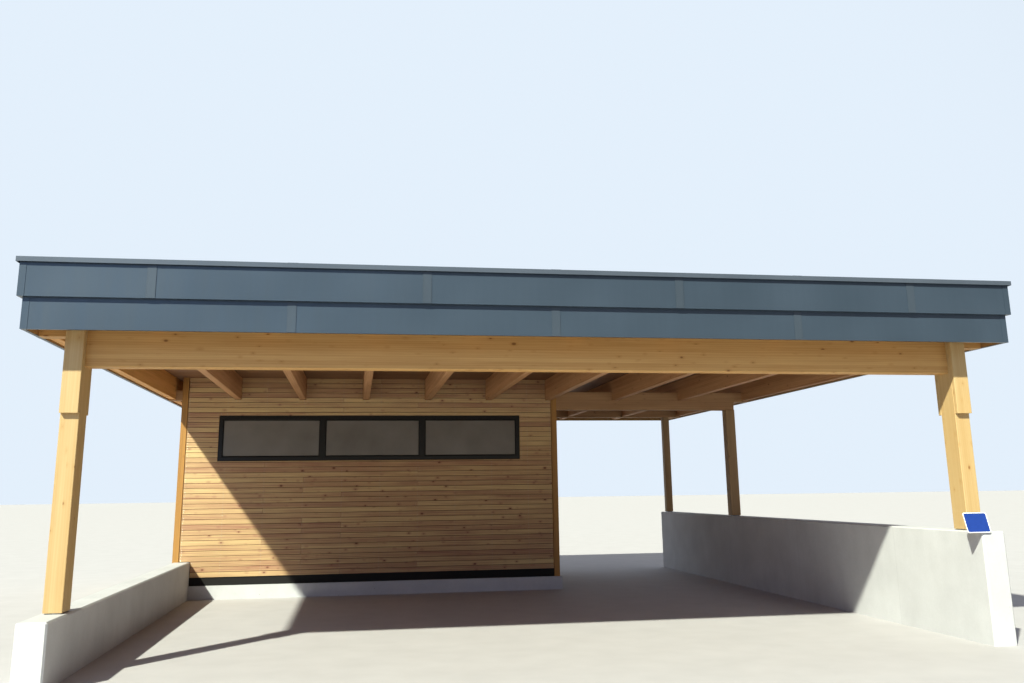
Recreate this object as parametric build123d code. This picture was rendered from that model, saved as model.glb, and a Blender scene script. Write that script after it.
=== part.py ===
from build123d import *
import os

# Flat-roofed timber carport with a store at the back, in millimetres.
# Widths run from the left fascia, depths from the front fascia and heights from the store floor,
# and every piece is moved once at the end so that the origin is the middle of the footprint.

# Roof outline: the outer face of the lower metal band, and the levels of its edges
roof_width = 9670
roof_depth = 11020
fascia_bottom = 2800
lap_level = 3090
coping_bottom = 3400
roof_top = 3445
sheet = 4
lap_step = 40
coping_step = 70
coping_reach = 120
attic_board = 30

# Joints of the metal bands: cover strips one stock sheet apart, and folded corner pieces
sheet_length = 2500
cover_strip = 84
corner_leg = 60
cover_lift = 3

# Roof timber
rafter_width = 100
rafter_bottom = 2820
rafter_height = 340
tail_bottom = 2900
store_bays = 6
open_bays = 3
wall_rafter_inset = 130
deck_thickness = 28
membrane_thickness = 8
arris = 5

# Front frame: forked posts carrying one long beam, packed by cheek planks
side_overhang = 295
post_width = 165
post_depth = 240
post_front = 355
cheek_thickness = 50
cheek_bottom = 2090
front_beam_thickness = 160
front_beam_bottom = 2520
front_beam_height = 400
shoe_thickness = 10
shoe_margin = 15

# Middle and rear frames
middle_front = 6663
middle_post_width = 160
middle_post_depth = 160
middle_beam_thickness = 140
middle_beam_bottom = 2660
middle_beam_height = 300
rear_overhang = 877
rear_post_width = 130
rear_beam_thickness = 140
rear_beam_bottom = 2800
rear_beam_height = 140

# Concrete upstand walls the posts and the store's left side stand on
wall_thickness = 250
wall_chamfer = 15
wall_outer_inset = 250
left_wall_top = 350
left_wall_start = -180
right_wall_top = 890
right_wall_start = 80
foundation_depth = 200

# Store
store_left = 240
store_right = 6240
frame_wall = 120
cladding = 25
corner_post = 90
corner_gap = 10
slab_lip = 30
plinth_height = 120
plinth_thickness = 12

# Window band in the store's front wall
window_left = 820
window_right = 5610
window_bottom = 1860
window_top = 2560
window_depth = 70
window_bar = 70
window_mullion = 105
window_lights = 3
window_setback = 5
pane_thickness = 24

# Blank house plate with its foot, leaning back at the front end of the right wall
plate_width = 260
plate_height = 205
plate_thickness = 3
plate_lean = 17
plate_drop = 10
plate_past_wall = 170
plate_standoff = 20
bracket_width = 60
bracket_thickness = 5
bracket_foot = 60
bracket_inset = 25

# Levels and planes that several pieces share
rim = attic_board + sheet
deck_bottom = rafter_bottom + rafter_height
deck_top = deck_bottom + deck_thickness
membrane_top = deck_top + membrane_thickness
post_right_face = roof_width - side_overhang
front_beam_face = post_front + (post_depth - front_beam_thickness) / 2
front_beam_top = front_beam_bottom + front_beam_height
rear_front = roof_depth - rear_overhang
boards_back = middle_front + cladding
rear_boards_front = rear_front + rear_beam_thickness
store_back = rear_boards_front + cladding
left_wall_x = wall_outer_inset
right_wall_x = roof_width - wall_outer_inset - wall_thickness

# Where the footprint's middle lies
shift_x = -roof_width / 2
shift_y = -(left_wall_start + roof_depth + coping_step) / 2
shift_z = foundation_depth

pieces = {}


def block(x0, x1, y0, y1, z0, z1):
    """Square-edged block between two corners."""
    return Pos((x0 + x1) / 2, (y0 + y1) / 2, (z0 + z1) / 2) * Box(x1 - x0, y1 - y0, z1 - z0)


def planed(timber, length_axis):
    """Takes the sharp arrises off a timber along its length."""
    return chamfer(timber.edges().filter_by(length_axis), arris)


def ring(outset, inset, z0, z1):
    """Closed band round the roof, from outset beyond the lower band's face to inset within it."""
    outer = block(-outset, roof_width + outset, -outset, roof_depth + outset, z0, z1)
    inner = block(inset, roof_width - inset, inset, roof_depth - inset, z0 - 1, z1 + 1)
    return outer - inner


def keep(name, shape):
    """Files one named piece in the shared frame."""
    pieces[name] = Pos(shift_x, shift_y, shift_z) * shape


# Concrete walls, with their upper edges and front arrises taken off
def upstand(x0, y0, top):
    body = block(x0, x0 + wall_thickness, y0, store_back, -foundation_depth, top)
    edges = body.edges().group_by(Axis.Z)[-1] + body.edges().filter_by(Axis.Z).group_by(Axis.Y)[0]
    return chamfer(edges, wall_chamfer)


keep("wall_left", upstand(left_wall_x, left_wall_start, left_wall_top))
keep("wall_right", upstand(right_wall_x, right_wall_start, right_wall_top))
left_wall_space = block(
    left_wall_x, left_wall_x + wall_thickness, left_wall_start, store_back, -foundation_depth, left_wall_top
)

# Floor slab of the store, cast against the left wall
store_floor = block(
    left_wall_x + wall_thickness,
    store_right + slab_lip,
    middle_front - slab_lip,
    store_back + slab_lip,
    -foundation_depth,
    0,
)
keep("store_floor", store_floor)

# Beams: each runs from rim to rim and is stepped up outside its posts to the eaves level
beam_spaces = []


def beam(y0, thickness, bottom, height, low_start, low_stop):
    """Beam at depth y0 whose full height lies between low_start and low_stop."""
    y1 = y0 + thickness
    space = block(rim, roof_width - rim, y0, y1, bottom, bottom + height)
    beam_spaces.append(space)
    body = planed(space, Axis.X)
    if bottom < fascia_bottom:
        body = body - block(rim - 1, low_start, y0 - 1, y1 + 1, bottom - 1, fascia_bottom)
        body = body - block(low_stop, roof_width, y0 - 1, y1 + 1, bottom - 1, fascia_bottom)
    return body


keep(
    "beam_front",
    beam(
        front_beam_face,
        front_beam_thickness,
        front_beam_bottom,
        front_beam_height,
        side_overhang,
        post_right_face,
    ),
)
keep(
    "beam_middle",
    beam(
        boards_back,
        middle_beam_thickness,
        middle_beam_bottom,
        middle_beam_height,
        store_left,
        post_right_face,
    ),
)
keep(
    "beam_rear",
    beam(
        rear_front,
        rear_beam_thickness,
        rear_beam_bottom,
        rear_beam_height,
        store_left,
        post_right_face,
    ),
)
front_beam_space, middle_beam_space, rear_beam_space = beam_spaces

# Rafters: even bays over the store and wider even bays over the open side
edge_middle = rim + rafter_width / 2
wall_rafter_middle = store_right - wall_rafter_inset
far_middle = roof_width - edge_middle
store_pitch = (wall_rafter_middle - edge_middle) / store_bays
open_pitch = (far_middle - wall_rafter_middle) / open_bays
rafter_middles = [edge_middle + number * store_pitch for number in range(store_bays)]
rafter_middles += [wall_rafter_middle + number * open_pitch for number in range(open_bays + 1)]


def rafter_space(middle):
    """Room that one rafter takes between the front attic board and the rear one."""
    left = middle - rafter_width / 2
    return block(left, left + rafter_width, rim, roof_depth - rim, rafter_bottom, deck_bottom)


def rafter(middle):
    """Rafter notched over the three beams, with its tail in front of the first one cut shallower."""
    body = planed(rafter_space(middle), Axis.Y)
    for space in beam_spaces:
        body = body - space
    left = middle - rafter_width / 2
    under_tail = block(
        left - 1, left + rafter_width + 1, 0, front_beam_face, rafter_bottom - 1, tail_bottom
    )
    return body - under_tail


for number, middle in enumerate(rafter_middles, start=1):
    keep(f"rafter_{number:02d}", rafter(middle))


# Front posts: one solid timber with a fork for the beam, a plank on its front and one on its back
def forked_post(x0, base):
    body = block(x0, x0 + post_width, post_front, post_front + post_depth, base, front_beam_top)
    return planed(body, Axis.Z) - front_beam_space


def cheek(x0, y0):
    plank = block(x0, x0 + post_width, y0, y0 + cheek_thickness, cheek_bottom, front_beam_top)
    return planed(plank, Axis.Z)


def shoe(x0, y0, width, depth, wall_top):
    """Steel plate between a post's foot and the concrete."""
    return block(
        x0 + shoe_margin,
        x0 + width - shoe_margin,
        y0 + shoe_margin,
        y0 + depth - shoe_margin,
        wall_top,
        wall_top + shoe_thickness,
    )


shoes = []
cheeks = []
front_posts = {
    "left": (side_overhang, left_wall_top),
    "right": (post_right_face - post_width, right_wall_top),
}
for side, (x0, wall_top) in front_posts.items():
    keep(f"post_front_{side}", forked_post(x0, wall_top + shoe_thickness))
    cheeks.append(cheek(x0, post_front - cheek_thickness))
    cheeks.append(cheek(x0, post_front + post_depth))
    shoes.append(shoe(x0, post_front, post_width, post_depth, wall_top))
keep("post_cheeks", Compound(children=cheeks))


# Middle and rear posts, flush with the beams' outer ends
def plain_post(width, depth, y0, top):
    x0 = post_right_face - width
    shoes.append(shoe(x0, y0, width, depth, right_wall_top))
    return planed(block(x0, x0 + width, y0, y0 + depth, right_wall_top + shoe_thickness, top), Axis.Z)


rear_post_front = rear_front + (rear_beam_thickness - rear_post_width) / 2
keep("post_middle", plain_post(middle_post_width, middle_post_depth, middle_front, middle_beam_bottom))
keep("post_rear", plain_post(rear_post_width, rear_post_width, rear_post_front, rear_beam_bottom))
keep("post_shoes", Compound(children=shoes))

# Store walls: framed panels under the beams and rafters, fitted over the left concrete wall
inner_left = store_left + cladding + frame_wall
inner_right = store_right - cladding - frame_wall
inner_front = boards_back + frame_wall
inner_back = rear_boards_front - frame_wall
window_hole = block(
    window_left, window_right, middle_front - 1, inner_front + 1, window_bottom, window_top
)


def fitted(shape):
    """Cuts away what the beams and the left concrete wall take up."""
    for space in [middle_beam_space, rear_beam_space, left_wall_space]:
        shape = shape - space
    return shape


def notched(boards):
    """Fits outer boarding round everything that passes through it."""
    for middle in rafter_middles:
        boards = boards - rafter_space(middle)
    return fitted(boards)


front_panel = block(
    store_left + corner_post, store_right - corner_post, boards_back, inner_front, 0, middle_beam_bottom
)
keep("store_wall_front", fitted(front_panel) - window_hole)
back_panel = block(
    store_left + cladding,
    store_right - cladding,
    inner_back,
    rear_boards_front,
    0,
    rear_beam_bottom,
)
keep("store_wall_back", fitted(back_panel))
left_panel = block(
    store_left + cladding, inner_left, inner_front, inner_back, left_wall_top, rafter_bottom
)
keep("store_wall_left", fitted(left_panel))
right_panel = block(inner_right, store_right - cladding, inner_front, inner_back, 0, rafter_bottom)
keep("store_wall_right", fitted(right_panel))


# Corner posts of the store's front: under the middle beam, with a lip that runs up past its face
def corner(x0):
    x1 = x0 + corner_post
    post = block(x0, x1, middle_front, inner_front, 0, middle_beam_bottom)
    lip = block(x0, x1, middle_front, boards_back, middle_beam_bottom, deck_bottom)
    return notched(post + lip)


keep(
    "store_corner_posts",
    Compound(children=[corner(store_left), corner(store_right - corner_post)]),
)

# Outer boarding, from the plinth up between the rafters to the roof deck
front_boards = block(
    store_left + corner_post + corner_gap,
    store_right - corner_post - corner_gap,
    middle_front,
    boards_back,
    plinth_height,
    deck_bottom,
)
keep("cladding_front", notched(front_boards) - window_hole)
back_boards = block(
    store_left, store_right, rear_boards_front, store_back, plinth_height, deck_bottom
)
keep("cladding_back", notched(back_boards))
left_boards = block(
    store_left,
    store_left + cladding,
    inner_front,
    rear_boards_front,
    left_wall_top,
    deck_bottom,
)
keep("cladding_left", notched(left_boards))
right_boards = block(
    store_right - cladding,
    store_right,
    inner_front,
    rear_boards_front,
    plinth_height,
    deck_bottom,
)
keep("cladding_right", notched(right_boards))
plinth_strip = block(
    left_wall_x + wall_thickness,
    store_right - corner_post,
    boards_back - plinth_thickness,
    boards_back,
    0,
    plinth_height,
)
keep("plinth", plinth_strip)

# Window frame and its three fixed panes
frame_front = middle_front + window_setback
frame_back = frame_front + window_depth
window_frame = block(
    window_left, window_right, frame_front, frame_back, window_bottom, window_top
)
lights_span = window_right - window_left - 2 * window_bar - (window_lights - 1) * window_mullion
light_width = lights_span / window_lights
glass_front = frame_front + (window_depth - pane_thickness) / 2
pane_low = window_bottom + window_bar
pane_high = window_top - window_bar
panes = []
for number in range(window_lights):
    x0 = window_left + window_bar + number * (light_width + window_mullion)
    x1 = x0 + light_width
    light = block(x0, x1, frame_front - 1, frame_back + 1, pane_low, pane_high)
    window_frame = window_frame - light
    panes.append(block(x0, x1, glass_front, glass_front + pane_thickness, pane_low, pane_high))
keep("window_frame", window_frame)
keep("panes", Compound(children=panes))


# Attic boards: the stepped timber rim the metal bands are fixed to, one per side
def attic(x0, x1, y0, y1):
    """One side of the timber rim, cut from the full stepped ring."""
    lower = ring(-sheet, rim, fascia_bottom + sheet, roof_top - sheet)
    upper = ring(lap_step - sheet, sheet, lap_level + sheet, roof_top - sheet)
    return (lower + upper) & block(x0, x1, y0, y1, 0, roof_top)


keep("attic_front", attic(-lap_step, roof_width + lap_step, -lap_step, rim))
keep("attic_rear", attic(-lap_step, roof_width + lap_step, roof_depth - rim, roof_depth + lap_step))
keep("attic_left", attic(-lap_step, rim, rim, roof_depth - rim))
keep("attic_right", attic(roof_width - rim, roof_width + lap_step, rim, roof_depth - rim))

# Roof deck, the membrane on it, and the strip of membrane turned up inside the rim
keep("deck", block(rim, roof_width - rim, rim, roof_depth - rim, deck_bottom, deck_top))
keep("membrane", block(rim, roof_width - rim, rim, roof_depth - rim, deck_top, membrane_top))
keep("membrane_upturn", ring(-rim, rim + membrane_thickness, membrane_top, coping_bottom))


# Joint covers of the metal bands: flat strips over the sheet joints and folded corner pieces
def joint_positions(side_length, offset):
    """Sheet joints along one side, a stock sheet apart from a first one beside its middle."""
    reach = int(side_length / sheet_length)
    steps = [(number + offset) * sheet_length for number in range(-reach, reach + 1)]
    edge = side_length / 2 - corner_leg - cover_strip
    return [side_length / 2 + step for step in steps if abs(step) < edge]


def joint_covers(face, z0, z1, offset):
    """Covers that stand proud of a band whose outer face is face beyond the lower band's."""
    proud = face + cover_lift
    skin = ring(proud, -face, z0, z1)
    half = cover_strip / 2
    places = []
    for x in joint_positions(roof_width, offset):
        places.append(block(x - half, x + half, -proud, roof_depth + proud, z0, z1))
    for y in joint_positions(roof_depth, offset):
        places.append(block(-proud, roof_width + proud, y - half, y + half, z0, z1))
    for x in [-proud, roof_width + proud - corner_leg]:
        for y in [-proud, roof_depth + proud - corner_leg]:
            places.append(block(x, x + corner_leg, y, y + corner_leg, z0, z1))
    return skin & Compound(children=places)


# Folded metal: lower band with its bottom return, upper band with its lap return, coping
lower_face = ring(0, sheet, fascia_bottom, lap_level)
drip_return = ring(-sheet, rim, fascia_bottom, fascia_bottom + sheet)
keep("band_lower", lower_face + drip_return + joint_covers(0, fascia_bottom, lap_level, 0))
upper_face = ring(lap_step, sheet - lap_step, lap_level, roof_top - sheet)
lap_return = ring(lap_step - sheet, 0, lap_level, lap_level + sheet)
keep("band_upper", upper_face + lap_return + joint_covers(lap_step, lap_level, coping_bottom, 0.5))
coping_cap = ring(coping_step, coping_reach - coping_step, roof_top - sheet, roof_top)
coping_drop = ring(coping_step, sheet - coping_step, coping_bottom, roof_top - sheet)
keep("coping", coping_cap + coping_drop)

# Blank house plate with its foot, leaning back over the right wall's front end
plate_front = right_wall_start - plate_standoff
bracket_back = plate_thickness + bracket_thickness
bracket_x = right_wall_x + bracket_inset
leaned = Pos(0, plate_front, right_wall_top - plate_drop) * Rot(-plate_lean, 0, 0)
plate_left = right_wall_x - plate_past_wall
plate = leaned * block(plate_left, plate_left + plate_width, 0, plate_thickness, 0, plate_height)
bracket_upright = leaned * block(
    bracket_x, bracket_x + bracket_width, plate_thickness, bracket_back, 0, plate_height / 2
)
bracket_sole = block(
    bracket_x,
    bracket_x + bracket_width,
    plate_front + bracket_back,
    right_wall_start + bracket_foot,
    right_wall_top,
    right_wall_top + bracket_thickness,
)
keep("house_plate", plate + bracket_sole + bracket_upright)

os.makedirs("parts", exist_ok=True)
for name, shape in pieces.items():
    export_step(shape, f"parts/{name}.step")
print(len(pieces), "pieces written")
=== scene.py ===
# %% [markdown]
# # A timber carport with a store, dressed in Blender
# The object is a flat-roofed carport: a glued timber frame on two concrete upstand walls,
# a boarded store at the back and a roof edge of folded dark sheet metal.
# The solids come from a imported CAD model, which is loaded first and is never moved or reshaped.
# All that is made here is a finish for one of those solids or a finer piece laid in its place.

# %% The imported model
import math
import random

import bpy
from mathutils import Matrix, Vector


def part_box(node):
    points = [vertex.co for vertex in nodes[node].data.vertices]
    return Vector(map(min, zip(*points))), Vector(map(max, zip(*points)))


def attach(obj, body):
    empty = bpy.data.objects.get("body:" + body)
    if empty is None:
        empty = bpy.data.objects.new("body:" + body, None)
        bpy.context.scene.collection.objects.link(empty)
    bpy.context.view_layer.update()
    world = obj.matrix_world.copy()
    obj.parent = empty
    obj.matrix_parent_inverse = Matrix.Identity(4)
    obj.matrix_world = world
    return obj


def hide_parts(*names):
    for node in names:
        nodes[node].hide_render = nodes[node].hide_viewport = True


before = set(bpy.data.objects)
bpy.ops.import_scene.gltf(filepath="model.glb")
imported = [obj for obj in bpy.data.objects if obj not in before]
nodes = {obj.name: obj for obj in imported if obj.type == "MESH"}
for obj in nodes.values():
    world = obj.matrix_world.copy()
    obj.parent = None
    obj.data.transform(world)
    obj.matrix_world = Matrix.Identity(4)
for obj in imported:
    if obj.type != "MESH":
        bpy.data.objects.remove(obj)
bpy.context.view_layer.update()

scene = bpy.context.scene

# %% [markdown]
# ## Working in millimetres
# A builder's drawing of a carport is in millimetres from one corner, so the sizes below are too.
# The frame is in metres with its origin under the middle of the footprint. The corner is read
# from the model itself: the lower metal band stands 3 mm proud of its left and front faces, and
# the store's floor slab has its top at level zero. One small function then turns drawing numbers
# into places.

# %% From the drawing to the frame
MM = 0.001
band_proud = 3
corner_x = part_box("band_lower")[0].x + band_proud * MM
corner_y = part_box("band_lower")[0].y + band_proud * MM
floor_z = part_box("store_floor")[1].z


def place(x, y, z):
    """A point of the drawing, in millimetres, as a point of the frame, in metres."""
    return Vector((corner_x + x * MM, corner_y + y * MM, floor_z + z * MM))


def drawing_box(node):
    """Lowest and highest corner of a CAD node, in the drawing's millimetres."""
    low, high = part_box(node)
    origin = place(0, 0, 0)
    return (low - origin) / MM, (high - origin) / MM


roof_width, roof_depth = (round(v - band_proud) for v in drawing_box("band_lower")[1].xy)
print("roof outline in millimetres:", roof_width, "by", roof_depth)

# %% [markdown]
# ## Helpers for every finish
# Paint charts give colours as sRGB hex values, but a shader adds up light, so it needs linear
# numbers. The first function makes that change. The second adds one node with its settings and
# links in a single line, so that a material reads like a recipe. Two more begin and end a recipe.

# %% Colour and node helpers
def linear(hex_colour):
    """An sRGB hex colour as the linear RGBA that shaders work in."""
    channels = [int(hex_colour[i : i + 2], 16) / 255 for i in (1, 3, 5)]
    return [c / 12.92 if c <= 0.04045 else ((c + 0.055) / 1.055) ** 2.4 for c in channels] + [1.0]


def add(tree, kind, inputs=None, out=0, **settings):
    """Adds a shader node and returns one of its outputs, or the node itself if out is None."""
    made = tree.nodes.new("ShaderNode" + kind)
    for name, value in settings.items():
        setattr(made, name, value)

    def socket(sockets, key):
        return next(s for i, s in enumerate(sockets) if key in (i, s.identifier, s.name))

    for key, value in (inputs or {}).items():
        if isinstance(value, bpy.types.NodeSocket):
            tree.links.new(value, socket(made.inputs, key))
        else:
            socket(made.inputs, key).default_value = value
    return made if out is None else socket(made.outputs, out)


finishes = []


def new_finish(name):
    """An empty material, its node tree, and the object's own coordinates in that tree."""
    finishes.append(name)
    material = bpy.data.materials.new(name)
    material.use_nodes = True
    tree = material.node_tree
    tree.nodes.clear()
    return material, tree, add(tree, "TexCoord", out="Object")


def surface(tree, inputs):
    """Ends a recipe: the shader with its inputs, joined to the material's output."""
    shader = add(tree, "BsdfPrincipled", inputs)
    add(tree, "OutputMaterial", {"Surface": shader}, out=None)


print("a mid grey in linear numbers:", [round(v, 3) for v in linear("#808080")])

# %% [markdown]
# A real surface isn't one flat colour. It runs from a light to a dark tone by the sum of several
# patterns, each with a weight. A colour ramp could do this too, but two hex values are easier to
# match to a sample. Marks, such as knots and pores, are laid over that.

# %% Tones and marks
blend = {"out": "Result_Color", "data_type": "RGBA"}


def toned(tree, light, dark, less, *patterns):
    """A colour from light to dark by the sum of (pattern, weight), less a middle value."""
    tone = 0.0
    for pattern, weight in patterns:
        tone = add(tree, "Math", {0: pattern, 1: weight, 2: tone}, operation="MULTIPLY_ADD")
    tone = add(tree, "Math", {0: tone, 1: less}, use_clamp=True, operation="SUBTRACT")
    return add(tree, "Mix", {"Factor_Float": tone, "A_Color": linear(light),
                             "B_Color": linear(dark)}, **blend)


def marked(tree, colour, mark, strength, stain):
    """The colour with a stain laid over it where the mark, from 0 to 1, says so."""
    share = add(tree, "Math", {0: mark, 1: strength}, operation="MULTIPLY")
    return add(tree, "Mix", {"Factor_Float": share, "A_Color": colour,
                             "B_Color": linear(stain)}, **blend)


# %% [markdown]
# ## Planed spruce and larch
# All the timber here is softwood. Close up it shows growth rings of about 4 mm, cut into long
# lines along the grain, with brown knots of 15 to 35 mm. From the camera's place a ring is thinner
# than one pixel, so the lines are drawn about four times as coarse to be seen at all.
# A photograph of wood would be easy, but it repeats and has to be unwrapped. Noise stretched along
# the grain never repeats and works on any face. Glued timber is made of 40 mm lamellas, stacked in
# a beam and side by side in a post, so each one shifts the pattern to a place of its own. Loose
# boards shift it by a random number that is stored on their corner points.

# %% Where a point lies in the grain
metres_apart, fixed_place = 61.0, 0.37


def grain_space(tree, where, along, lamella, boards):
    """Coordinates with X along the grain, moved apart for each board or lamella, and the move."""
    split = add(tree, "SeparateXYZ", {"Vector": where}, out=None).outputs
    shift = add(tree, "Attribute", out="Fac", attribute_name="board") if boards else fixed_place
    if lamella:
        stack = 0 if along == 2 else 2
        layer = add(tree, "Math", {0: split[stack], 1: lamella * MM}, operation="DIVIDE")
        layer = add(tree, "Math", {0: layer}, operation="FLOOR")
        layer = add(tree, "Math", {0: layer, 1: shift}, operation="ADD")
        shift = add(tree, "TexWhiteNoise", {"W": layer}, noise_dimensions="1D")
    far = add(tree, "Math", {0: shift, 1: metres_apart}, operation="MULTIPLY")
    order = [along] + [axis for axis in range(3) if axis != along]
    moved = [add(tree, "Math", {0: split[axis], 1: far}, operation="ADD") for axis in order]
    return add(tree, "CombineXYZ", dict(zip("XYZ", moved))), shift


# %% [markdown]
# Three patterns make the figure. Rings come from the ring wave, stretched along the grain.
# Blender's wave makes 20 radians in a metre at scale 1, which gives the scale for a ring of 17 mm.
# Streaks are noise drawn out along the grain, and clouds are slow noise that shades whole areas.

# %% Rings, streaks and clouds
ring_width = 17 * MM
wave_radians = 20


def growth(tree, run):
    """The three patterns of the wood's figure, each from 0 to 1."""
    stretched = add(tree, "VectorMath", {0: run, 1: (0.07, 1.0, 1.0)}, operation="MULTIPLY")
    rings = add(tree, "TexWave", {"Vector": stretched, "Detail": 2.0, "Detail Scale": 0.35,
                                  "Scale": 2 * math.pi / (ring_width * wave_radians),
                                  "Distortion": 7.0},
                out="Fac", wave_type="RINGS", rings_direction="X")
    drawn_out = add(tree, "VectorMath", {0: run, 1: (0.9, 26.0, 26.0)}, operation="MULTIPLY")
    streaks = add(tree, "TexNoise", {"Vector": drawn_out, "Scale": 1.0, "Detail": 5.0,
                                     "Roughness": 0.62}, out="Fac")
    clouds = add(tree, "TexNoise", {"Vector": run, "Scale": 1.3, "Detail": 2.0}, out="Fac")
    return rings, streaks, clouds


# %% [markdown]
# A knot is a branch cut across: a dark oval, longer along the grain, with a brown halo where the
# grain bends round it. Dots scattered by hand would do for one board. A cell pattern puts one
# centre in every cell of all of them, and a random number leaves some cells without a core, and a
# few more without a halo.

# %% Knots
halo_width = 18 * MM
core_sharpness, halo_sharpness = 130.0, 34.0
no_core_below, no_halo_below = 0.35, 0.4
knot_stretch = (0.6, 1.0, 1.0)


def knot_marks(tree, run, size, cell):
    """Core and halo of the knots, from 0 to 1. Size and cell are in millimetres."""
    cell = Vector((cell[0], cell[1], cell[1])) * MM
    cells = add(tree, "VectorMath", {0: run, 1: cell}, operation="DIVIDE")
    centre = add(tree, "TexVoronoi", {"Vector": cells, "Scale": 1.0}, out=None).outputs
    away = add(tree, "VectorMath", {0: cells, 1: centre["Position"]}, operation="SUBTRACT")
    for factor in (cell, knot_stretch):
        away = add(tree, "VectorMath", {0: away, 1: factor}, operation="MULTIPLY")
    away = add(tree, "VectorMath", {0: away}, out="Value", operation="LENGTH")
    chance = add(tree, "SeparateColor", {"Color": centre["Color"]})
    radius = add(tree, "MapRange", {"Value": chance, "From Min": no_core_below,
                                    "To Max": size * MM})
    inside = add(tree, "Math", {0: radius, 1: away}, operation="SUBTRACT")
    core = add(tree, "Math", {0: inside, 1: core_sharpness}, use_clamp=True, operation="MULTIPLY")
    halo = add(tree, "Math", {0: inside, 1: halo_width}, operation="ADD")
    halo = add(tree, "Math", {0: halo, 1: halo_sharpness}, use_clamp=True, operation="MULTIPLY")
    has_knot = add(tree, "Math", {0: chance, 1: no_halo_below}, operation="GREATER_THAN")
    return core, add(tree, "Math", {0: halo, 1: has_knot}, operation="MULTIPLY")


# %% [markdown]
# The figure then chooses a colour between a pale and a deep one. `figure` says how strongly the
# wood is marked and `variety` how far one board or lamella departs from the next. The same
# pattern makes the bump and the small changes of sheen, as planed wood has them.

# %% The softwood recipe
def softwood(name, pale, deep, knot, along, lamella=0, boards=False, knot_size=14,
             knot_cell=(600, 110), figure=0.42, variety=0.25, roughness=0.6):
    """Softwood whose grain runs along axis 0, 1 or 2. Lamella and knot sizes are millimetres."""
    material, tree, where = new_finish(name)
    run, shift = grain_space(tree, where, along, lamella, boards)
    rings, streaks, clouds = growth(tree, run)
    core, halo = knot_marks(tree, run, knot_size, knot_cell)
    colour = toned(tree, pale, deep, figure + 0.5 * variety - 0.36, (rings, 0.32 * figure),
                   (streaks, 1.5 * figure), (clouds, 0.7 * figure), (shift, variety))
    colour = marked(tree, colour, halo, 0.6, deep)
    colour = marked(tree, colour, core, 0.7, knot)
    height = add(tree, "Math", {0: rings, 1: 0.5, 2: streaks}, operation="MULTIPLY_ADD")
    bump = add(tree, "Bump", {"Strength": 0.25, "Distance": 0.8 * MM, "Height": height})
    sheen = add(tree, "MapRange", {"Value": streaks, "To Min": roughness - 0.08,
                                   "To Max": roughness + 0.12})
    surface(tree, {"Base Color": colour, "Roughness": sheen, "IOR": 1.5, "Normal": bump})
    return material


# %% [markdown]
# ## The timber finishes
# The front beam and the rafters are planed glued-laminated spruce, pale honey yellow and still
# new. The front posts are the same wood with a thin clear glaze. The store's corner posts have a
# warm orange glaze. The ceiling is tongued and grooved spruce, its colour darkened in part as
# painted shade under the roof, and the store is boarded in larch, which is redder and has more
# knots. The rafter at the open left edge gets a yellower, lighter copy of the rafters' finish as
# painted light, and the beams and posts further in get darker, pinker copies as painted shade.
# Wood has an IOR near 1.5 and is fairly rough once planed.

# %% Making the timber finishes
spruce_beam = softwood("planed_glulam_spruce_beam", "#D4AF77", "#A97B42", "#6A3E1C", along=0,
                       lamella=40, knot_size=18, knot_cell=(300, 60))
# Painted shade: the middle and rear beams and posts get darker, pinker copies of the spruce
# finish.
painted_shade_beam = softwood("planed_glulam_spruce_beam_painted_shade", "#BE9B75", "#8B6647", "#50331F",
                      along=0, lamella=40, knot_cell=(420, 60))
painted_shade_post = softwood("planed_glulam_spruce_post_painted_shade", "#AE9472", "#84694B", "#50331F",
                      along=2, lamella=42, knot_cell=(480, 60))
spruce_rafter = softwood("planed_glulam_spruce_rafter", "#D9AE84", "#A4754F", "#5A3822", along=1,
                         lamella=40, knot_size=16, knot_cell=(560, 60))
# Painted light: the rafter at the open left edge gets a yellower, lighter copy of the rafters'
# finish.
sunny_rafter = softwood("planed_glulam_spruce_sunny_rafter", "#F2BE7C", "#B98648", "#6A3E1C",
                        along=1, lamella=40, knot_size=16, knot_cell=(560, 60))
spruce_post = softwood("clear_glazed_spruce_post", "#C4AE84", "#AD8855", "#74491F", along=2,
                       lamella=42, knot_size=15, knot_cell=(480, 60), figure=0.4, roughness=0.5)
orange_post = softwood("orange_glazed_spruce_post", "#BC8E4E", "#866238", "#4A2E18", along=2,
                       lamella=45, figure=0.4, roughness=0.48)
# The ceiling's spruce is darkened in part as painted shade under the roof.
ceiling_spruce_painted_shade = softwood("tongued_spruce_ceiling_painted_shade", "#9C785A", "#70503A", "#38251B", along=0,
                          boards=True, knot_cell=(450, 90), figure=0.5)
larch_slats = [softwood("planed_larch_slats" + ending, "#D7C08D", "#986A5A", "#5E3324",
                        along=axis, boards=True, knot_size=18, knot_cell=(240, 64),
                        figure=0.64, variety=0.36) for axis, ending in ((0, ""), (1, "_side"))]
lining_board = softwood("spruce_lining_board", "#CDA670", "#A67C4A", "#5E4025", along=2,
                        lamella=200, figure=0.45)
attic_spruce = softwood("sawn_spruce_attic_board", "#B99667", "#8F6C42", "#5A3C22", along=0,
                        figure=0.5, roughness=0.8)
print("timber finishes:", finishes)

# %% [markdown]
# ## Cast concrete
# The two walls and the slab were cast against smooth formwork panels, so the faces are flat and
# light grey with cloudy patches, a few blow holes of 5 to 15 mm and a fine line where one panel
# met the next. The blow holes are darkened as painted shade inside them. Rain has drawn very
# faint streaks down from the top. Clouds and pores are noise and cell patterns in real sizes,
# and the streaks are noise stretched downwards.

# %% Concrete
panel_width, panel_joint = 2500 * MM, 5 * MM


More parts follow.
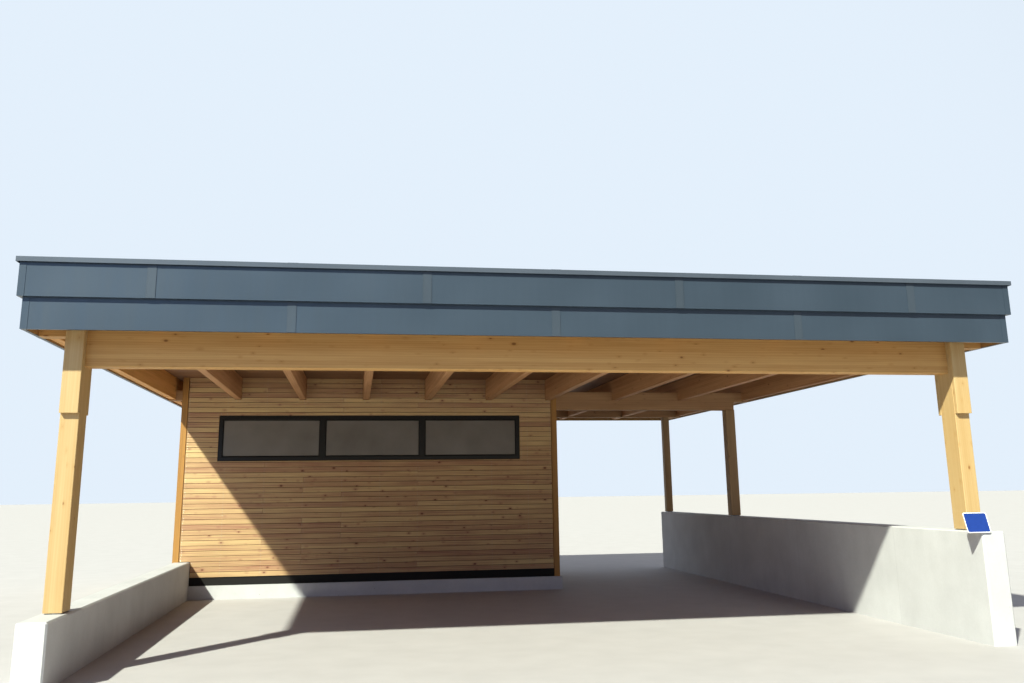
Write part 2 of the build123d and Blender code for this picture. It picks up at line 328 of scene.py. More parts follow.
def cast_concrete(name, light, dark):
    """Smooth cast concrete, faintly stained."""
    material, tree, where = new_finish(name)
    split = add(tree, "SeparateXYZ", {"Vector": where}, out=None).outputs
    clouds = add(tree, "TexNoise", {"Vector": where, "Scale": 1.7, "Detail": 6.0,
                                    "Roughness": 0.6}, out="Fac")
    grit = add(tree, "TexNoise", {"Vector": where, "Scale": 42.0, "Detail": 5.0,
                                  "Roughness": 0.7}, out="Fac")
    downward = add(tree, "VectorMath", {0: where, 1: (5.0, 5.0, 0.7)}, operation="MULTIPLY")
    streaks = add(tree, "TexNoise", {"Vector": downward, "Scale": 1.0, "Detail": 4.0}, out="Fac")
    pores = add(tree, "TexVoronoi", {"Vector": where, "Scale": 11.0}, out=None)
    pore_size = add(tree, "SeparateColor", {"Color": pores.outputs["Color"]})
    pore_size = add(tree, "MapRange", {"Value": pore_size, "From Min": 0.55, "To Max": 0.085})
    pore = add(tree, "Math", {0: pore_size, 1: pores.outputs["Distance"]}, operation="SUBTRACT")
    pore = add(tree, "Math", {0: pore, 1: 60.0}, use_clamp=True, operation="MULTIPLY")
    panel = add(tree, "Math", {0: split[1], 1: panel_width, 2: 0.0}, operation="WRAP")
    panel = add(tree, "Math", {0: panel, 1: panel_width / 2, 2: panel_joint}, operation="COMPARE")
    colour = toned(tree, light, dark, 0.34, (clouds, 0.9), (streaks, 0.25), (grit, 0.35),
                   (panel, 0.2))
    # Painted shade: the blow holes are darkened for the shade inside them.
    colour = marked(tree, colour, pore, 0.5, "#55514A")
    height = add(tree, "Math", {0: pore, 1: -2.0, 2: grit}, operation="MULTIPLY_ADD")
    bump = add(tree, "Bump", {"Strength": 0.35, "Distance": 1.5 * MM, "Height": height})
    surface(tree, {"Base Color": colour, "Roughness": 0.82, "IOR": 1.5, "Normal": bump})
    return material


concrete = cast_concrete("smooth_cast_concrete", "#CBCCCF", "#A7A8AB")

# %% [markdown]
# ## Coil-coated sheet, membrane and the small finishes
# The roof edge is steel sheet with an anthracite coil coating: a satin paint film, so it isn't
# metallic to the eye. Thin sheet is never quite flat, so a very slow bump makes its reflection
# wander a little, and rain leaves faint upright marks. The joint strips come from another coil, a
# shade lighter than the bands. The coping is a lighter grey than the bands, as painted reflection
# of the sky. The roof is a matt grey membrane.
# The window bars are powder coated nearly black, and the panes are etched glass that lets no
# view through. The plinth is a black bitumen strip, the post feet are galvanised steel with its
# patchwork of zinc crystals, and the small plate is blue enamel with a white rim.

# %% Sheet metal and membrane
def coated_sheet(name, light, dark, roughness):
    """Satin coil-coated steel sheet with a slow buckle and faint rain marks."""
    material, tree, where = new_finish(name)
    buckle = add(tree, "TexNoise", {"Vector": where, "Scale": 1.6, "Detail": 1.0}, out="Fac")
    upright = add(tree, "VectorMath", {0: where, 1: (16.0, 16.0, 1.1)}, operation="MULTIPLY")
    marks = add(tree, "TexNoise", {"Vector": upright, "Scale": 1.0, "Detail": 4.0}, out="Fac")
    dust = add(tree, "TexNoise", {"Vector": where, "Scale": 90.0, "Detail": 3.0}, out="Fac")
    colour = toned(tree, light, dark, 0.38, (buckle, 1.0), (marks, 0.5), (dust, 0.25))
    gloss = add(tree, "MapRange", {"Value": marks, "To Min": roughness - 0.06,
                                   "To Max": roughness + 0.12})
    bump = add(tree, "Bump", {"Strength": 0.3, "Distance": 6 * MM, "Height": buckle})
    surface(tree, {"Base Color": colour, "Roughness": gloss, "IOR": 1.5, "Normal": bump})
    return material


anthracite = coated_sheet("anthracite_coil_coated_sheet", "#434F5D", "#384451", roughness=0.34)
anthracite_strip = coated_sheet("anthracite_joint_strip", "#47515D", "#3C4651", roughness=0.38)
# The coping's lighter grey is painted reflection of the sky.
coping_painted_reflection = coated_sheet("coping_sheet_painted_reflection", "#575F6B", "#4B535F", roughness=0.36)

# %% Mottled finishes
def mottled(name, light, dark, scale, roughness, bump_mm=0.3, metallic=0.0):
    """A plain finish with a fine mottle, whose scale is its patches in a metre."""
    material, tree, where = new_finish(name)
    mottle = add(tree, "TexNoise", {"Vector": where, "Scale": scale, "Detail": 5.0}, out="Fac")
    slow = add(tree, "TexNoise", {"Vector": where, "Scale": 1.5, "Detail": 3.0}, out="Fac")
    colour = toned(tree, light, dark, 0.5, (mottle, 1.0), (slow, 1.0))
    bump = add(tree, "Bump", {"Strength": 0.4, "Distance": bump_mm * MM, "Height": mottle})
    inputs = {"Base Color": colour, "Roughness": roughness, "Metallic": metallic, "Normal": bump}
    if not metallic:
        inputs["IOR"] = 1.5
    surface(tree, inputs)
    return material


membrane = mottled("matt_roof_membrane", "#6E7073", "#56585B", scale=60.0, roughness=0.85,
                   bump_mm=0.6)
window_bars = mottled("powder_coated_window_bar", "#12110F", "#0C0B0A", scale=400.0,
                      roughness=0.3, bump_mm=0.1)
gasket = mottled("rubber_glazing_gasket", "#141414", "#0C0C0C", scale=200.0, roughness=0.7)
bitumen_strip = mottled("bitumen_plinth_strip", "#1A1817", "#0F0E0E", scale=160.0,
                        roughness=0.75, bump_mm=0.8)
wind_barrier = mottled("dark_wind_barrier", "#2A1F19", "#1D1511", scale=300.0, roughness=0.9)
blue_enamel = mottled("blue_enamel", "#2A4897", "#254084", scale=30.0, roughness=0.14,
                      bump_mm=0.05)
white_enamel = mottled("white_enamel", "#F1F1EE", "#E4E4E0", scale=30.0, roughness=0.14,
                       bump_mm=0.05)
stainless = mottled("brushed_stainless_screw", "#BFC1C2", "#9EA0A2", scale=500.0, roughness=0.3,
                    metallic=1.0)


# %% Galvanised steel and etched glass
spangle = 18 * MM


def galvanised_steel(name):
    """Hot-dip galvanised steel: grey zinc with a spangle of flat crystals."""
    material, tree, where = new_finish(name)
    crystals = add(tree, "TexVoronoi", {"Vector": where, "Scale": 1 / spangle}, out="Color")
    crystal = add(tree, "SeparateColor", {"Color": crystals})
    colour = add(tree, "Mix", {"Factor_Float": crystal, "A_Color": linear("#B4B8BB"),
                               "B_Color": linear("#8C9195")}, **blend)
    gloss = add(tree, "MapRange", {"Value": crystal, "To Min": 0.35, "To Max": 0.55})
    surface(tree, {"Base Color": colour, "Roughness": gloss, "Metallic": 1.0})
    return material


def etched_glass(name):
    """Insulating glass with an acid-etched inner sheet: grey, even and softly see-through."""
    material, tree, where = new_finish(name)
    clouds = add(tree, "TexNoise", {"Vector": where, "Scale": 2.2, "Detail": 3.0}, out="Fac")
    etch = add(tree, "TexNoise", {"Vector": where, "Scale": 350.0, "Detail": 2.0}, out="Fac")
    colour = toned(tree, "#97938F", "#78746F", 0.15, (clouds, 1.0), (etch, 0.3))
    surface(tree, {"Base Color": colour, "Roughness": 0.18, "IOR": 1.52,
                   "Transmission Weight": 0.2})
    return material


zinc = galvanised_steel("hot_dip_galvanised_steel")
frosted = etched_glass("acid_etched_glass")
print("finishes made:", len(finishes))

# %% [markdown]
# ## Giving the solids their finishes
# Most solids already have their true shape: the beams are stepped, the rafters notched, the
# posts forked. They only need a finish in their material slot, which leaves the mesh alone.

# %% Finishes for the solids that stay
finished = []


def give(finish, *names):
    """Puts a finish in the material slot of each named CAD node."""
    finished.extend(names)
    for name in names:
        nodes[name].material_slots[0].material = finish


rafters = [name for name in sorted(nodes) if name.startswith("rafter_")]
give(concrete, "wall_left", "wall_right", "store_floor")
give(spruce_beam, "beam_front")
# The middle and rear beams take the painted-shade copy of the spruce finish.
give(painted_shade_beam, "beam_middle", "beam_rear")
# The left edge rafter takes the painted-light copy of the rafters' finish.
give(sunny_rafter, rafters[0])
give(spruce_rafter, *rafters[1:])
give(spruce_post, "post_front_left", "post_front_right", "post_cheeks")
# The middle and rear posts take the painted-shade copy of the spruce finish.
give(painted_shade_post, "post_middle", "post_rear")
give(orange_post, "store_corner_posts")
give(zinc, "post_shoes")
give(lining_board, "store_wall_front", "store_wall_back", "store_wall_left", "store_wall_right")
give(bitumen_strip, "plinth")
give(frosted, "panes")
give(attic_spruce, "attic_front", "attic_rear", "attic_left", "attic_right")
give(anthracite, "band_lower", "band_upper")
give(coping_painted_reflection, "coping")
give(membrane, "membrane", "membrane_upturn")
print("solids finished as they are:", len(finished))
print("solids to be replaced:", sorted(set(nodes) - set(finished)))

# %% [markdown]
# ## Boards as real boards
# Slats and ceiling boards are long prisms with their four long edges taken off. Cubes with a
# bevel modifier would do, but hundreds of them are slow to handle. Here all the boards of one
# wall are worked out as corner points and joined in one mesh, and each board's random number is
# stored on its points for the wood recipe to read.

# %% A mesh of many boards
def board_points(low, high, axis, arris):
    """Corner points and faces of one board with its four long edges taken off."""
    b, c = (axis + 1) % 3, (axis + 2) % 3
    u0, u1, v0, v1 = low[b], high[b], low[c], high[c]
    outline = [(u0 + arris, v0), (u1 - arris, v0), (u1, v0 + arris), (u1, v1 - arris),
               (u1 - arris, v1), (u0 + arris, v1), (u0, v1 - arris), (u0, v0 + arris)]
    points = []
    for end in (low[axis], high[axis]):
        for u, v in outline:
            point = [0.0, 0.0, 0.0]
            point[axis], point[b], point[c] = end, u, v
            points.append(point)
    sides = [(i, (i + 1) % 8, 8 + (i + 1) % 8, 8 + i) for i in range(8)]
    return points, [tuple(range(7, -1, -1)), tuple(range(8, 16))] + sides

# %% From corner points to a piece
def new_piece(name, points, faces, finish, numbers=None):
    """A mesh object from drawing points, riding on the carport, with its finish and slot."""
    mesh = bpy.data.meshes.new(name)
    mesh.from_pydata([place(*p) for p in points], [], faces)
    mesh.materials.append(finish)
    if numbers:
        mesh.attributes.new("board", "FLOAT", "POINT").data.foreach_set("value", numbers)
    piece = bpy.data.objects.new(name, mesh)
    scene.collection.objects.link(piece)
    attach(piece, "root")
    return piece


def board_piece(name, boards, finish):
    """Boards in one mesh: low corner, high corner, length axis, arris, and wood's own number."""
    points, faces, numbers = [], [], []
    for low, high, axis, arris, *number in boards:
        new_points, new_faces = board_points(low, high, axis, arris)
        faces += [tuple(len(points) + i for i in face) for face in new_faces]
        points += new_points
        numbers += (number or [0.5]) * len(new_points)
    piece = new_piece(name, points, faces, finish, numbers)
    print(name, len(boards), "parts")
    return piece


# %% [markdown]
# ## The store's larch slats
# Rows of planed slats, 73 mm high with a 5 mm gap, run level round the store up to the ceiling.
# They are cut round the window, the rafters and the beams, and joined end to end on the battens
# behind, where two screws hold each end. The dark sheet behind them is what makes the gaps read
# as dark lines. A striped material would look right from far off, but its gaps would have no
# depth, so every slat is a board of its own.

# %% Sizes of the slats, and strips less their holes
slat_height, slat_gap, slat_thickness, slat_arris = 73, 5, 20, 2
slat_rows = 39
batten_pitch = 600
rows_start = drawing_box("cladding_front")[0].z
row_pitch = (drawing_box("cladding_front")[1].z - rows_start) / slat_rows
print("slat rows are", round(row_pitch, 1), "mm apart")


def without(strip, holes, clear=4, thinnest=12, shortest=25):
    """A level strip (start, stop, low, high) less the holes, as the strips that are left."""
    left = [strip]
    for h0, h1, hz0, hz1 in holes:
        kept = []
        for a0, a1, z0, z1 in left:
            if h1 <= a0 or h0 >= a1 or hz1 <= z0 or hz0 >= z1:
                kept.append((a0, a1, z0, z1))
                continue
            if h0 > a0:
                kept.append((a0, h0, z0, z1))
            if h1 < a1:
                kept.append((h1, a1, z0, z1))
            inner = (max(a0, h0), min(a1, h1))
            if hz0 - z0 > thinnest:
                kept.append((*inner, z0, hz0 - clear))
            if z1 - hz1 > thinnest:
                kept.append((*inner, hz1 + clear, z1))
        left = kept
    return [r for r in left if r[1] - r[0] > shortest]


# %% [markdown]
# A row is made of stock lengths of three to four metres that meet on a batten, and the joints
# are staggered from row to row by a seeded random draw, so that every run gives the same wall.

# %% Rows of slats and their screws
random.seed(7)
slat_play, lowest_slat = 1.2, 20
screw_from_end, screw_from_edge, clear_of_end = 25, 17, 60


def row_cuts(start, stop):
    """Where the slats of one row meet, always on a batten."""
    cuts = [start]
    step = random.randint(2, 6) * batten_pitch
    while cuts[-1] + step < stop - 2 * batten_pitch:
        cuts.append(cuts[-1] + step)
        step = random.choice((5, 6, 7)) * batten_pitch
    return cuts + [stop]


def fixings(start, stop, wall_start):
    """Places along one slat where it is screwed: near both ends and at the battens between."""
    first = math.floor((start - wall_start + clear_of_end) / batten_pitch) + 1
    last = math.ceil((stop - wall_start - clear_of_end) / batten_pitch)
    battens = [wall_start + n * batten_pitch for n in range(first, last)]
    return [start + screw_from_end, stop - screw_from_end] + battens

# %% Places on a wall
def wall_box(axis, a0, a1, near, far, z0, z1):
    """Low and high corner of a box on a wall that runs along axis 0 or 1."""
    low, high = [0, 0, z0], [0, 0, z1]
    low[axis], high[axis] = a0, a1
    low[1 - axis], high[1 - axis] = min(near, far), max(near, far)
    return low, high

# %% One wall of slats
def slat_wall(side, axis, inward, holes):
    """One wall of slats in place of its CAD node. Returns the places of its screws."""
    node = "cladding_" + side
    low, high = drawing_box(node)
    outer = low[1 - axis] if inward > 0 else high[1 - axis]
    boards, screws = [], []
    for row in range(slat_rows):
        bottom = rows_start + row * row_pitch + slat_gap / 2
        z0, z1 = max(bottom, low.z + 2), min(bottom + slat_height, high.z)
        if z1 < z0 + lowest_slat:
            continue
        cuts = row_cuts(low[axis], high[axis])
        for start, stop in zip(cuts, cuts[1:]):
            number = random.random()
            near = outer + inward * random.uniform(0.0, slat_play)
            far = near + inward * slat_thickness
            for a0, a1, s0, s1 in without((start + 1, stop - 1, z0, z1), holes):
                box = wall_box(axis, a0, a1, near, far, s0, s1)
                boards.append((*box, axis, slat_arris, number))
                if s1 - s0 < slat_height / 2:
                    continue
                for a in fixings(a0, a1, low[axis]):
                    for z in (s0 + screw_from_edge, s1 - screw_from_edge):
                        screws.append((near, a, z) if axis else (a, near, z))
    piece = board_piece("slats_" + side, boards, larch_slats[axis])
    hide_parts(node)
    return screws


# %% [markdown]
# The holes are read from the solids, so the slats stop where the real ones do: at the window
# frame, round every rafter, under the beams, and at the left upstand wall. A wall is given by the
# axis that it runs along, by 1 or -1 for the way inwards across it, and by its holes.

# %% Slats on the four walls
def hole_round(node, axis, beside, below, above):
    """The part of a wall that a solid takes up, with the gaps left round it."""
    low, high = drawing_box(node)
    return low[axis] - beside, high[axis] + beside, low.z - below, high.z + above


rafter_holes = [hole_round(name, 0, 3, 0, 10) for name in rafters]
beam_holes = [hole_round(name, 1, 3, 0, 3) for name in ("beam_middle", "beam_rear")]
window_hole = hole_round("window_frame", 0, 2, 2, 2)
upstand_hole = (0, *hole_round("wall_left", 0, 4, 0, 3)[1:])
walls = {
    "front": (0, 1, rafter_holes + [window_hole, upstand_hole]),
    "back": (0, -1, rafter_holes + [upstand_hole]),
    "left": (1, 1, beam_holes),
    "right": (1, -1, beam_holes),
}
screws = {side: slat_wall(side, *wall) for side, wall in walls.items()}

# %% [markdown]
# Behind the slats hangs a black wind barrier. It is a thin sheet with a thickness of its own, cut
# out round the window, the rafters and the beams, so nothing shines through the gaps.

# %% The dark sheet behind the slats
barrier_gap = 2.5


def backing(side, axis, inward, holes):
    """The black wind barrier behind one wall of slats."""
    low, high = drawing_box("cladding_" + side)
    outer, inner = (low[1 - axis], high[1 - axis])[::inward]
    near = outer + inward * (slat_thickness + barrier_gap)
    sheets = []
    edges = sorted({low.z, high.z, *[z for h in holes for z in h[2:] if low.z < z < high.z]})
    for z0, z1 in zip(edges, edges[1:]):
        blocked = [(h[0], h[1], z0 - 1, z1 + 1) for h in holes
                   if h[2] < z1 - 0.5 and h[3] > z0 + 0.5]
        for a0, a1, s0, s1 in without((low[axis], high[axis], z0, z1), blocked):
            sheets.append((*wall_box(axis, a0, a1, near, inner, s0, s1), axis, 0.2))
    board_piece("barrier_" + side, sheets, wind_barrier)


for side, wall in walls.items():
    backing(side, *wall)


# %% [markdown]
# ## Screws
# Each slat is held by two stainless countersunk screws at every batten. A head is 7 mm across,
# so it is a shallow eight-sided cap here: round enough at its size and light on triangles.

# %% Screw heads
head_sides, head_radius = 8, 3.6
head_profile = ((head_radius, 1.5), (head_radius, -0.2), (head_radius * 0.6, -0.9))


def screw_piece(name, spots, axis, inward):
    """Screw heads on a wall that faces against inward. The profile is (radius, depth)."""
    b, c = (axis + 1) % 3, (axis + 2) % 3
    points, faces = [], []
    for spot in spots:
        first = len(points)
        for r, depth in head_profile:
            for i in range(head_sides):
                angle = 2 * math.pi * i / head_sides
                point = list(spot)
                point[axis] += inward * depth
                point[b] += r * math.cos(angle)
                point[c] += r * math.sin(angle)
                points.append(point)
        rings = []
        for low in (first, first + head_sides):
            for i in range(head_sides):
                j = (i + 1) % head_sides
                rings.append((low + i, low + head_sides + i, low + head_sides + j, low + j))
        base = tuple(range(first, first + head_sides))
        top = tuple(range(first + 3 * head_sides - 1, first + 2 * head_sides - 1, -1))
        faces += [face[::inward] for face in (*rings, base, top)]
    print(name, len(spots), "screws")
    return new_piece(name, points, faces, stainless)


for side, (axis, inward, _) in walls.items():
    screw_piece("screws_" + side, screws[side], 1 - axis, inward)

# %% [markdown]
# ## The boarded ceiling
# The roof deck is tongued and grooved spruce, 28 mm thick and 146 mm to the row, nailed across
# the rafters and left bare below. What the eye sees is the row of fine V joints. The boards are
# real ones again, butted over the rafters.

# %% Ceiling boards
deck_low, deck_high = drawing_box("deck")
deck_rows, v_joint, shortest_board = 75, 4.0, 1500
end_gap, side_gap = 0.5, 0.3
deck_pitch = (deck_high.y - deck_low.y) / deck_rows
rafter_lines = [(h[0] + h[1]) / 2 for h in rafter_holes]
deck_boards = []
for row in range(deck_rows):
    y0 = deck_low.y + row * deck_pitch
    joints = sorted(random.sample(rafter_lines[2:-2], 2))
    if joints[1] - joints[0] <= shortest_board:
        joints.pop()
    cuts = [deck_low.x, *joints, deck_high.x]
    for x0, x1 in zip(cuts, cuts[1:]):
        low = (x0 + end_gap, y0 + side_gap, deck_low.z)
        high = (x1 - end_gap, y0 + deck_pitch - side_gap, deck_high.z)
        deck_boards.append((low, high, 0, v_joint, random.random()))
ceiling = board_piece("ceiling_boards", deck_boards, ceiling_spruce_painted_shade)
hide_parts("deck")


# %% [markdown]
# ## The window band
# Three fixed lights share one dark frame set a little behind the slats. A glazier's frame isn't
# one flat bar: a flat outer profile, a sloped glazing bead and a thin rubber gasket step down
# to the glass. A rectangle's outline is swept round each light with the profile's few points,
# and its corners are mitred by moving the same points inwards on all four sides.

# %% A mitred frame
def picture_frame(points, faces, rect, profile):
    """Adds a closed mitred frame round rect (x0, x1, z0, z1). Profile points are (inset, y)."""
    x0, x1, z0, z1 = rect
    first = len(points)
    count = len(profile)
    for inset, y in profile:
        points += [(x0 + inset, y, z0 + inset), (x1 - inset, y, z0 + inset),
                   (x1 - inset, y, z1 - inset), (x0 + inset, y, z1 - inset)]
    for i in range(count):
        j = (i + 1) % count
        for k in range(4):
            n = (k + 1) % 4
            faces.append((first + 4 * i + k, first + 4 * i + n,
                          first + 4 * j + n, first + 4 * j + k))

# %% Where the three lights are
window_low, window_high = drawing_box("window_frame")
frame_front, frame_back = window_low.y, window_high.y
pane_low, pane_high = drawing_box("panes")
lights, between_lights, bead = 3, 105, 20
light_width = (pane_high.x - pane_low.x - (lights - 1) * between_lights) / lights
openings = []
for number in range(lights):
    x0 = pane_low.x + number * (light_width + between_lights)
    openings.append((x0, x0 + light_width, pane_low.z, pane_high.z))
print("lights:", lights, "each", round(light_width), "mm wide")

# %% The window's bars
sill_top, head_low = pane_low.z - bead, pane_high.z + bead
bars = []
for z0, z1 in ((window_low.z, sill_top), (head_low, window_high.z)):
    bars.append(((window_low.x, frame_front, z0), (window_high.x, frame_back, z1), 0, 1.5))
uprights = [(window_low.x, openings[0][0] - bead), (openings[-1][1] + bead, window_high.x)]
uprights += [(a[1] + bead, b[0] - bead) for a, b in zip(openings, openings[1:])]
for x0, x1 in uprights:
    bars.append(((x0, frame_front, sill_top), (x1, frame_back, head_low), 2, 1.5))
window_piece = board_piece("window_profiles", bars, window_bars)
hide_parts("window_frame")

# %% Beads and gaskets
glass = pane_low.y
bead_profile = [(0, frame_front + 4), (bead * 0.45, frame_front + 4), (bead, glass - 4),
                (bead, frame_back - 3), (0, frame_back - 3)]
gasket_profile = [(0, glass - 3.8), (4, glass - 3.0), (5, glass + 0.3), (0, glass + 0.3)]
for name, finish, grow, profile in (("glazing_beads", window_bars, bead, bead_profile),
                                    ("glazing_gaskets", gasket, 0, gasket_profile)):
    points, faces = [], []
    for x0, x1, z0, z1 in openings:
        picture_frame(points, faces, (x0 - grow, x1 + grow, z0 - grow, z1 + grow), profile)
    new_piece(name, points, faces, finish)
    print(name, len(points), "points")

# %% [markdown]
# ## Joint strips on the metal bands
# Sheet metal comes in fixed lengths, so every 2.5 m a folded strip covers the joint between two
# sheets, and its edges catch a thin line of light. A line in the material would mark the joint,
# but it wouldn't stand proud, so each strip is a thin plate with a small fold along both edges.

# %% Where the sheets meet
sheet_length = 2500
strip_half, strip_fold = 42, 6
flat_rise, fold_rise = 1.0, 1.6
upper_outset, clear_of_corner = 40, 150
lap_level = round(drawing_box("band_upper")[0].z)
eaves_level = round(drawing_box("band_lower")[0].z)
coping_bottom = round(drawing_box("coping")[0].z)
strips = []


def joint_places(length, offset):
    """Where the sheets of one side meet: one stock sheet apart, counted from its middle."""
    reach = int(length / sheet_length)
    steps = [(n + offset) * sheet_length for n in range(-reach, reach + 1)]
    return [length / 2 + s for s in steps if abs(s) < length / 2 - clear_of_corner]


print("along the front, the lower sheets meet at", joint_places(roof_width, 0))

# %% Strips over the sheet joints
def add_strip(axis, along, face, z0, z1):
    """A strip on a band's face: a flat middle and two raised folds at its edges."""
    outward = -1 if face < 0 else 1
    inner = strip_half - strip_fold
    for a0, a1, rise in ((-strip_half, -inner, fold_rise), (-inner, inner, flat_rise),
                         (inner, strip_half, fold_rise)):
        box = wall_box(axis, along + a0, along + a1, face, face + outward * rise, z0 + 1, z1 - 1)
        strips.append((*box, 2, 0.3))


for offset, proud, z0, z1 in ((0, band_proud, eaves_level, lap_level),
                              (0.5, upper_outset + band_proud, lap_level, coping_bottom)):
    for axis, length, depth in ((0, roof_width, roof_depth), (1, roof_depth, roof_width)):
        for along in joint_places(length, offset):
            for face in (-proud, depth + proud):
                add_strip(axis, along, face, z0, z1)
board_piece("joint_strips", strips, anthracite_strip)

# %% [markdown]
# ## Roof covering
# From above, the roof is a shallow tray: a membrane welded from rolls, turned up at the edge and
# held under the metal coping. The welds are laps a few millimetres high, one every roll width.
# The coping's lengths meet under flat connecting pieces. On the roof's side it is folded down in
# a leg that keeps rain off the timber rim. A thicker coping would hide the timber too, but not
# show the thin edge of sheet, so the leg is four thin plates of its own.

# %% Membrane laps
tray_low, tray_high = drawing_box("membrane")
roll_width, narrowest_roll = 1500, 200
lap_half, lap_rise = 45, 2.5
laps = []
x = tray_low.x + roll_width
while x < tray_high.x - narrowest_roll:
    low = (x - lap_half, tray_low.y + 10, tray_high.z - 0.5)
    high = (x + lap_half, tray_high.y - 10, tray_high.z + lap_rise)
    laps.append((low, high, 1, 0.8))
    x += roll_width
board_piece("membrane_laps", laps, membrane)

# %% Coping joints
coping_low, coping_high = drawing_box("coping")
coping_width = 120
clip_half, clip_rise = 50, 1.5
clips = []
z0, z1 = coping_high.z, coping_high.z + clip_rise
for axis, length in ((0, roof_width), (1, roof_depth)):
    for along in joint_places(length, 0):
        for near in (coping_low[1 - axis], coping_high[1 - axis] - coping_width):
            box = wall_box(axis, along - clip_half, along + clip_half, near, near + coping_width,
                           z0, z1)
            clips.append((*box, 1 - axis, 0.4))
board_piece("coping_joints", clips, anthracite_strip)

# %% The coping's inner leg
leg_drop, leg_sheet, under_coping = 55, 1.5, 3.5
z0, z1 = coping_high.z - leg_drop, coping_high.z - under_coping
inside = [(coping_low[a] + coping_width, coping_high[a] - coping_width) for a in (0, 1)]
legs = []
for axis in (1, 0):
    start, stop = inside[1 - axis]
    for near in (start - leg_sheet, stop):
        box = wall_box(axis, *inside[axis], near, near + leg_sheet, z0, z1)
        legs.append((*box, axis, 0.3))
board_piece("coping_legs", legs, coping_painted_reflection)

# %% [markdown]
# ## The blank plate
# A small enamel plate leans back on a galvanised foot at the end of the right wall. It is left
# bare: a blue field inside a white rim. A block would do at this size, but its corners are round,
# so its outline is worked out with four quarter circles and given the thickness of sheet.

# %% Sizes of the plate and its foot
plate_low, plate_high = drawing_box("house_plate")
wall_low, wall_high = drawing_box("wall_right")
in_front, below_top = 20, 10
edge_y, edge_z = wall_low.y - in_front, wall_high.z - below_top
plate_width, plate_height, plate_sheet = 260, 205, 3
corner, rim, field_proud, field_depth = 18, 9, 0.8, 0.4
plate_lean = math.radians(17)
foot_inset, foot_width, foot_height, foot_sheet = 25, 60, 102, 5

# %% Outline and lean
def rounded(width, height, radius, steps=5):
    """Outline of a rectangle with round corners, from its lower left corner."""
    outline = []
    for cx, cz, start in ((width - radius, radius, -90), (width - radius, height - radius, 0),
                          (radius, height - radius, 90), (radius, radius, 180)):
        for i in range(steps + 1):
            angle = math.radians(start + 90 * i / steps)
            outline.append((cx + radius * math.cos(angle), cz + radius * math.sin(angle)))
    return outline


def leaned(x, back, up):
    """A point of the upright plate, tipped back about its bottom edge."""
    y = back * math.cos(plate_lean) + up * math.sin(plate_lean)
    z = up * math.cos(plate_lean) - back * math.sin(plate_lean)
    return x, edge_y + y, edge_z + z

# %% Plate and foot
def plate_piece(name, inset, front, back, finish):
    """A rounded sheet of enamelled steel, inset from the plate's outline."""
    outline = rounded(plate_width - 2 * inset, plate_height - 2 * inset, corner - inset / 2)
    count = len(outline)
    points = [leaned(plate_low.x + inset + u, y, inset + v)
              for y in (front, back) for u, v in outline]
    faces = [tuple(range(count)), tuple(range(2 * count - 1, count - 1, -1))]
    faces += [(i, count + i, count + (i + 1) % count, (i + 1) % count) for i in range(count)]
    return new_piece(name, points, faces, finish)


plate = plate_piece("plate_rim", 0, 0.0, plate_sheet, white_enamel)
plate_piece("plate_field", rim, -field_proud, field_depth, blue_enamel)
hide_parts("house_plate")
foot_x = wall_low.x + foot_inset
foot_back = plate_sheet + foot_sheet
points, faces = board_points((foot_x, plate_sheet, 0),
                             (foot_x + foot_width, foot_back, foot_height), 0, 0.8)
points = [leaned(*point) for point in points]
sole_points, sole_faces = board_points(
    (foot_x, edge_y + foot_back, wall_high.z),
    (foot_x + foot_width, plate_high.y, wall_high.z + foot_sheet), 0, 0.8)
faces += [tuple(len(points) + i for i in face) for face in sole_faces]
new_piece("plate_foot", points + sole_points, faces, zinc)

# %% [markdown]
# ## Floor, light and camera
# The carport stands on a plain pale floor, so large that its edge lies at the horizon.

# %% Floor
floor_reach = 200.0
corners = [(x * floor_reach, y * floor_reach, 0) for x, y in ((-1, -1), (1, -1), (1, 1), (-1, 1))]
floor_mesh = bpy.data.meshes.new("studio_floor")
floor_mesh.from_pydata(corners, [], [(0, 1, 2, 3)])
floor_mesh.materials.append(mottled("pale_studio_floor", "#B8B6B9", "#B0AEB1", scale=3.0,
                                    roughness=0.85))
floor = bpy.data.objects.new("studio_floor", floor_mesh)
scene.collection.objects.link(floor)
print("floor:", 2 * floor_reach, "m square")

# %% [markdown]
# The key light is a crisp sun from the front left. It puts the roof's shadow across the store and
# leaves the bay dark, with a bright corner at the left. A broad bluish softbox far out in front
# gives the dark sheet something to reflect, without which it would look black. A low reflector
# lies on the floor under the front beam, as a photographer would lay a white sheet there, and
# shines up at the undersides of the beam and the rafters, which otherwise stay dull. The rest is
# pale light from all round: bright behind, where it is also the backdrop, and greyer in front, so
# that the sides turned to the camera keep some depth.

# %% Light helpers
def new_light(name, kind, energy, colour):
    """A light of the given kind, power and colour, put into the scene."""
    light = bpy.data.objects.new(name, bpy.data.lights.new(name, kind))
    light.data.energy = energy
    light.data.color = linear(colour)[:3]
    scene.collection.objects.link(light)
    return light


def new_panel(name, energy, colour, where, width, height):
    """A flat light panel that the camera doesn't see. Its size is in metres."""
    panel = new_light(name, "AREA", energy, colour)
    panel.data.shape = "RECTANGLE"
    panel.data.size, panel.data.size_y = width, height
    panel.location = where
    panel.visible_camera = False
    return panel


def aim(light, direction):
    """Turns a light so that it shines along the direction."""
    light.rotation_mode = "QUATERNION"
    light.rotation_quaternion = direction.to_track_quat("-Z", "Y")

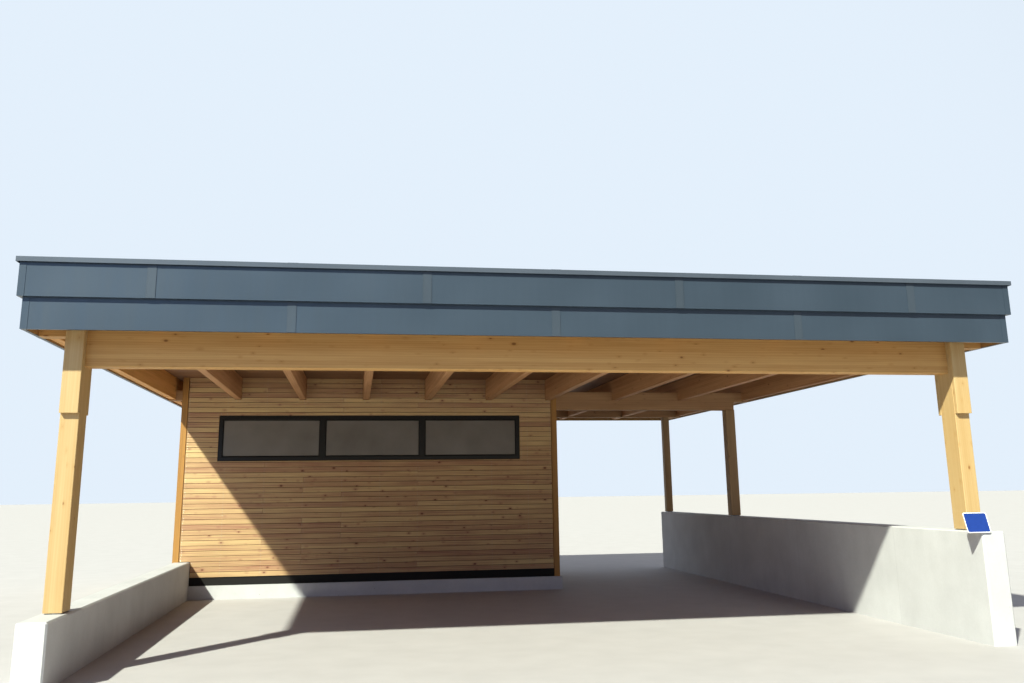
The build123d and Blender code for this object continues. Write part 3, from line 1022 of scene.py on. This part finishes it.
# %% Pale light from all round
world = bpy.data.worlds.new("soft_studio")
world.use_nodes = True
sky = world.node_tree
sky.nodes.clear()
direction = add(sky, "TexCoord", out="Generated")
backward = add(sky, "SeparateXYZ", {"Vector": direction}, out="Y")
backward = add(sky, "MapRange", {"Value": backward, "From Min": -0.3, "From Max": 0.8},
               interpolation_type="SMOOTHSTEP")
pale = add(sky, "Mix", {"Factor_Float": backward, "A_Color": linear("#96908F"),
                        "B_Color": linear("#DEE9F4")}, **blend)
glow = add(sky, "Background", {"Color": pale, "Strength": 0.9})
add(sky, "OutputWorld", {"Surface": glow}, out=None)
scene.world = world

# %% Sun, softbox and reflector
key = new_light("key_light", "SUN", 6.1, "#FDFFEA")
key.data.angle = math.radians(1.5)
key_direction = Vector((0.73, 0.92, -1.0))
aim(key, key_direction)
softbox = new_panel("blue_softbox", 1900.0, "#78B2F8", place(-9000, -34000, 13000), 26.0, 14.0)
aim(softbox, place(2000, 0, 3000) - softbox.location)
reflector = new_panel("low_reflector", 21.0, "#FFF4D6", place(4700, 500, -190), 6.4, 2.0)
reflector.rotation_euler.x = math.pi
height = math.degrees(math.atan2(1.0, key_direction.xy.length))
print("the sun stands", round(height), "degrees above the floor")

# %% [markdown]
# The camera stands at eye height in front of the carport, to the left of the bay's middle, and
# looks up a little. Its focal length was found in pixels of the picture, so it is turned into
# millimetres of a 36 mm sensor. The pixel height where the lens points is the shift.

# %% Camera
lens = bpy.data.cameras.new("camera")
camera = bpy.data.objects.new("camera", lens)
picture_width, picture_height = 1024, 683
focal_px, centre_px = 936.7, 283.1
lens.sensor_width = 36.0
lens.lens = focal_px / picture_width * lens.sensor_width
lens.shift_y = (centre_px - picture_height / 2) / picture_width
lens.clip_end = 500.0
yaw, pitch, roll = 0.165, 0.218, -0.013
ahead = Vector((math.sin(yaw) * math.cos(pitch), math.cos(yaw) * math.cos(pitch), math.sin(pitch)))
level = Vector((math.cos(yaw), -math.sin(yaw), 0.0))
upward = level.cross(ahead)
right = math.cos(roll) * level + math.sin(roll) * upward
top = -math.sin(roll) * level + math.cos(roll) * upward
camera.matrix_world = Matrix((right, top, -ahead)).transposed().to_4x4()
camera.location = place(2951, -8748, 1351)
scene.collection.objects.link(camera)
scene.camera = camera
scene.view_settings.view_transform = "Standard"
scene.view_settings.look = "Medium High Contrast"
print("lens", round(lens.lens, 2), "mm, camera at", [round(v, 2) for v in camera.location])
